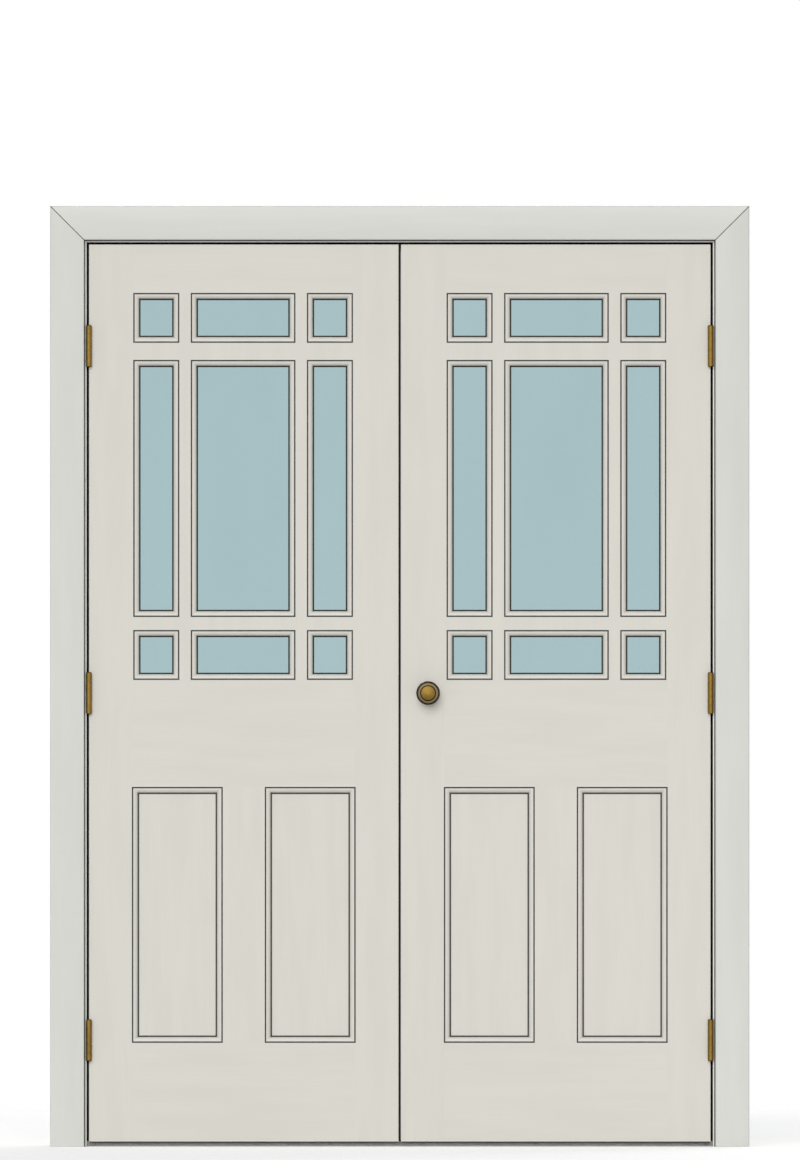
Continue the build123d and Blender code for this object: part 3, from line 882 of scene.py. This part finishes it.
# %% Pile between the leaves
pile_front, pile_rear = leaf_front + 1.8 * MM, leaf_front + 4.8 * MM
pile_root, pile_tip = -meeting_edge - 0.4 * MM, meeting_edge - 0.25 * MM
sealing_strip(
    "meeting_pile_seal",
    low=(pile_root, pile_front, leaf_bottom + seal_end_gap),
    high=(pile_tip, pile_rear, leaf_top - seal_end_gap),
    tip=(X, pile_tip),
    narrow=(1, 0.7, 1),
    body="left_leaf",
    material=pile,
)

# %% Brush strips under the leaves
brush_front, brush_rear = leaf_front + 3 * MM, leaf_front + 9 * MM
brush_root, brush_tip = leaf_bottom + 0.3 * MM, leaf_bottom - 2.2 * MM
brush_end_gap = 2 * MM
for hand, side in HANDS.items():
    ends = (meeting_edge + brush_end_gap, hinge_edge - brush_end_gap)
    left_x, right_x = sorted(side * end for end in ends)
    sealing_strip(
        f"{hand}_brush_strip",
        low=(left_x, brush_front, brush_tip),
        high=(right_x, brush_rear, brush_root),
        tip=(Z, brush_tip),
        narrow=(1, 0.8, 1),
        body=f"{hand}_leaf",
        material=pile,
    )

# %% [markdown]
# ## Slotted screws
# Plates and roses are held by slotted brass screws, and the threshold bar by steel ones. One head is
# modelled: a short cylinder whose top is inset and raised to leave a sloping rim, inset once more, cut
# across twice with bisect, and the strip between the cuts pushed down for the slot. It is then copied
# to every place that has a screw, and turned another way each time, because nobody lines up sixty
# slots.

# %% Model one screw head
head_radius, head_thickness = 4 * MM, 1.2 * MM
rim_width, rim_rise, top_border = 0.35 * MM, 0.12 * MM, 0.25 * MM
slot_half_width, slot_depth = 0.45 * MM, 0.6 * MM


def is_top(face):
    return face.normal.z > 0.9


def is_cut_top(face):
    return is_top(face) and len(face.verts) > 4


def is_slot_strip(face):
    middle = face.calc_center_median()
    central = near(middle.x, 0, slack=0.5 * MM) and near(middle.y, 0, slack=0.2 * MM)
    return is_top(face) and len(face.verts) >= 4 and central


clear_selection()
bpy.ops.mesh.primitive_cylinder_add(vertices=32, radius=head_radius, depth=head_thickness)
screw = bpy.context.object
screw.name = "slotted_screw"
pick(screw, "FACE", is_top)
bpy.ops.mesh.inset(thickness=rim_width)
bpy.ops.transform.translate(value=(0, 0, rim_rise))
bpy.ops.mesh.inset(thickness=top_border)
for cut_y in (-slot_half_width, slot_half_width):
    pick(screw, "FACE", is_cut_top)
    bpy.ops.mesh.bisect(plane_co=(0, cut_y, 0), plane_no=(0, 1, 0))
slot_faces = pick(screw, "FACE", is_slot_strip)
bpy.ops.mesh.extrude_region_move(TRANSFORM_OT_translate={"value": (0, 0, -slot_depth)})
clear_selection()
print("slot faces:", slot_faces, "screw faces:", len(screw.data.polygons))

# %% Mark where grime lies on the head
slot_reach = head_radius - 0.4 * MM
rim_inner, rim_outer = head_radius - rim_width, head_radius - 0.05 * MM
slot_grime, rim_grime = 0.95, 0.7
grime = screw.data.attributes.new("grime", "FLOAT", "FACE")
for face in screw.data.polygons:
    reach = math.hypot(face.center.x, face.center.y)
    in_slot = 0 < face.center.z < head_thickness / 2 and reach < slot_reach
    on_rim = face.normal.z > 0.3 and rim_inner < reach < rim_outer
    grime.data[face.index].value = slot_grime if in_slot else rim_grime if on_rim else 0
print("grimy faces:", sum(entry.value > 0 for entry in grime.data))


# %% Copy it to the plates
def slot_turns():
    """Turns of the slots, in degrees, that look as if nobody lined them up."""
    turn = 17
    while True:
        turn = (turn * 7 + 31) % 180
        yield turn


turns = slot_turns()
rim_proud = 0.05 * MM


def screw_at(point, facing):
    """A copy of the screw, facing that way, whose rim stands a hair proud of the point."""
    copy = screw.copy()
    copy.data = screw.data.copy()
    bpy.context.collection.objects.link(copy)
    facing = Vector(facing).normalized()
    slot_turn = Quaternion((0, 0, 1), math.radians(next(turns)))
    copy.rotation_mode = "QUATERNION"
    copy.rotation_quaternion = facing.to_track_quat("Z", "Y") @ slot_turn
    copy.location = Vector(point) - facing * (head_thickness / 2 - rim_proud)
    return copy


def drive_screws(name, spots, body, material=screw_brass):
    """One piece of screws, from the point of each one and the way it faces."""
    heads = [screw_at(point, facing) for point, facing in spots]
    hand_over(join(heads, name), body, material)


# %% Screws in the hinge plates
hinge_height, plate_proud = 89 * MM, 0.5 * MM
hinges_low, hinges_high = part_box("right_hinge_plates")
first_hinge, last_hinge = hinges_low.z, hinges_high.z - hinge_height
hinge_bottoms = (first_hinge, (first_hinge + last_hinge) / 2, last_hinge)
hinge_screws_up_and_back = ((10, 11), (33, 23), (56, 11), (79, 23))
for hand, side in HANDS.items():
    for name, body, plate_x, facing in (
        (f"{hand}_screws", f"{hand}_leaf", hinge_edge + plate_proud, side),
        (f"{hand}_jamb_screws", "frame", jamb_face - plate_proud, -side),
    ):
        spots = [
            ((side * plate_x, leaf_front + back * MM, bottom + up * MM), (facing, 0, 0))
            for bottom in hinge_bottoms
            for up, back in hinge_screws_up_and_back
        ]
        drive_screws(name, spots, body)

# %% Screws in the strike plate, the latch and the roses
edge_bevel = 2 * MM
edge_tilt = math.atan2(edge_bevel, leaf_rear - leaf_front)
plate_screws_up, rose_screws_up = (-22, 22), (-16, 16)
for hand, side in HANDS.items():
    facing = (-side * math.cos(edge_tilt), math.sin(edge_tilt), 0)
    edge_x = side * (meeting_edge + edge_bevel / 2)
    spots = [((edge_x, leaf_mid_depth, knob_axis_z + up * MM), facing) for up in plate_screws_up]
    plate = "strike" if hand == "left" else "latch"
    drive_screws(f"{plate}_screws", spots, f"{hand}_leaf")

roses_low, roses_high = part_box("right_roses")
spots = [
    ((knob_axis_x, face_y, knob_axis_z + up * MM), (0, outward, 0))
    for face_y, outward in ((roses_low.y, -1), (roses_high.y, 1))
    for up in rose_screws_up
]
drive_screws("rose_screws", spots, "right_leaf")

# %% Screws in the threshold bar
bar_low, bar_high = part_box("threshold")
bar_length = bar_high.x - bar_low.x
bar_screw_y, bar_screw_shares = 3.5 * MM, (0.08, 0.36, 0.64, 0.92)
spots = [
    ((bar_low.x + share * bar_length, bar_screw_y, bar_high.z), (0, 0, 1))
    for share in bar_screw_shares
]
drive_screws("threshold_screws", spots, "frame", material=steel)
bpy.data.objects.remove(screw)

# %% [markdown]
# ## The room
# The picture has a white ground. The world is white where the camera, a reflection or a look through
# glass meets it, and less than half as bright as a source of light, so that white costs the door no
# colour. The floor is a pale disc that fades out towards its rim and keeps a soft shadow.

# %% White world
scene = bpy.context.scene
scene.world = bpy.data.worlds.new("studio")
scene.world.use_nodes = True
sky = Finish(scene.world.node_tree)
rays = sky.add("ShaderNodeLightPath")
camera_ray, mirror_ray = rays.out("Is Camera Ray"), rays.out("Is Glossy Ray")
seen = camera_ray.larger(mirror_ray).larger(rays.out("Is Transmission Ray"))
room_light = 0.42
strength = seen * (1 - room_light) + room_light
ground = sky.add("ShaderNodeBackground", inputs={"Color": (1, 1, 1, 1), "Strength": strength})
sky.add("ShaderNodeOutputWorld", inputs={"Surface": ground})
print("room light:", room_light)

# %% Pale floor
floor_radius = 5.0
floor_drop = 0.5 * MM
clear_selection()
bpy.ops.mesh.primitive_circle_add(
    vertices=96, radius=floor_radius, fill_type="NGON", location=(0, 0, 0)
)
floor = bpy.context.object
floor.name = "pale_floor"
pick(floor, "FACE", every)
bpy.ops.mesh.inset(thickness=floor_radius / 2)
clear_selection()
floor.location.z = -floor_drop
print("floor:", 2 * floor_radius, "m across")


# %% The floor's paint, brighter for the camera and gone at the rim
dull_grain, pale_grain = (0.76, 0.76, 0.76, 1), (0.8, 0.8, 0.8, 1)


def fading_floor(name, fade_start, fade_end, camera_glow):
    material, finish = new_finish(name)
    place = finish.place()
    grain = finish.noise(place, (3, 3, 3), detail=4)
    pale = finish.mix(grain, dull_grain, pale_grain)
    matt = finish.add("ShaderNodeBsdfDiffuse", inputs={"Color": pale})
    seen_by_camera = finish.add("ShaderNodeLightPath").out("Is Camera Ray")
    glow = finish.add("ShaderNodeEmission", inputs={"Strength": seen_by_camera * camera_glow})
    lit = finish.add("ShaderNodeAddShader", inputs={0: matt, 1: glow})
    gone = finish.add("ShaderNodeBsdfTransparent")
    across, along = place.axis("X"), place.axis("Y")
    from_middle = (across * across + along * along).root()
    fade = finish.step(from_middle, fade_start, fade_end)
    finish.surface(finish.add("ShaderNodeMixShader", inputs={0: fade, 1: lit, 2: gone}))
    return material


floor.data.materials.append(
    fading_floor("pale_floor", floor_radius * 0.45, floor_radius * 0.98, camera_glow=0.36)
)

# %% [markdown]
# ## Lamps
# Two suns with a wide angle act as large soft windows. One stands in front, high and to the left, and
# draws the mouldings. A weaker one stands behind, so the back of the door isn't left grey. A sun has
# the same strength from floor to head, which keeps the tall leaves even.

# %% Two soft suns
lamp_distance = 4


def soft_sun(name, towards, strength, angle):
    """A sun that shines from that direction, as wide as an angle in degrees."""
    towards = Vector(towards).normalized()
    clear_selection()
    bpy.ops.object.light_add(type="SUN", location=towards * lamp_distance)
    lamp = bpy.context.object
    lamp.name = name
    lamp.rotation_euler = towards.to_track_quat("Z", "Y").to_euler()
    lamp.data.energy = strength
    lamp.data.angle = math.radians(angle)
    print(name, "strength", strength)


soft_sun("front_window", towards=(-0.12, -0.9, 0.36), strength=1.635, angle=35)
soft_sun("rear_window", towards=(0.34, 0.82, 0.46), strength=1.35, angle=45)

# %% [markdown]
# ## Camera
# The picture is a level front view with no perspective to speak of. A very long lens far away gives
# the same flat view, and one picture pixel is 2.2085 mm at the door. The middle of the picture lies
# 1.251 m above the floor and half a millimetre to the right of the door's middle.

# %% Long lens in front
picture_height_px, metres_per_px = 1160, 2.2085 * MM
picture_middle_x, picture_middle_z = 0.5 * MM, 1.2511
camera_distance = 60.0
film_height = 36
clear_selection()
bpy.ops.object.camera_add(
    location=(picture_middle_x, leaf_front - camera_distance, picture_middle_z),
    rotation=(math.pi / 2, 0, 0),
)
camera = bpy.context.object
camera.name = "front_view"
camera.data.type = "PERSP"
camera.data.sensor_width = film_height
camera.data.lens = film_height * camera_distance / (picture_height_px * metres_per_px)
camera.data.clip_start, camera.data.clip_end = 1, 200
scene.camera = camera
scene.view_settings.view_transform = "Standard"
print("lens:", round(camera.data.lens, 1), "mm")
